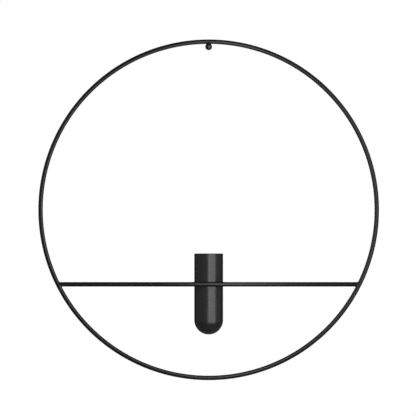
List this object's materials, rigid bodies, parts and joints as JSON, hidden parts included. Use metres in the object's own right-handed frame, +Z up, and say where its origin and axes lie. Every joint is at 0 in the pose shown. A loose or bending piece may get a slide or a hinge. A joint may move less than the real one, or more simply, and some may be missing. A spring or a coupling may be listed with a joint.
{
  "type": "hanging wall vase",
  "caption": "Wall vase of thin black rod: a large ring on a wall peg, a straight cross bar, and a loop behind it holding an upright round-bottomed tube.",
  "frame": {"origin": "on the wall's face, on the axis of the peg and its wall plug", "axes": "+Z up along the wall, +X to the right as seen from the room, +Y into the wall along the plug"},
  "size_m": [0.3, 0.0637, 0.3],
  "materials": {
    "powder_coat": "satin black powder coat on steel rod",
    "tube_coat": "satin black powder coat on a steel tube",
    "peg_coat": "satin black powder coat on a turned steel peg",
    "bumper_rubber": "matt black moulded rubber",
    "stop_rubber": "matt black rubber ring",
    "zinc_steel": "zinc-plated steel",
    "grey_nylon": "light grey moulded nylon"
  },
  "bodies": {
    "wall_fitting": {"wall_peg": "peg_coat", "hanger_screw": "zinc_steel", "wall_plug": "grey_nylon"},
    "frame": {"outer_ring": "powder_coat", "cross_bar": "powder_coat", "rear_loop": "powder_coat", "wall_bumper": "bumper_rubber"},
    "stop_ring": {"stop_ring": "stop_rubber"},
    "vase": {"vase_tube": "tube_coat"}
  },
  "joints": [
    {"name": "frame_swing", "type": "hinge", "parent": "wall_fitting", "child": "frame", "pos_m": [0, -0.0332, 0], "axis": [0, 1, 0], "range_deg": [-30, 30]},
    {"name": "vase_lift", "type": "slide", "parent": "frame", "child": "stop_ring", "axis": [0, 0, 1], "range_m": [0, 0.06]},
    {"name": "vase_turn", "type": "hinge", "parent": "stop_ring", "child": "vase", "pos_m": [0, -0.0181, -0.20935], "axis": [0, 0, 1], "continuous": true}
  ]
}
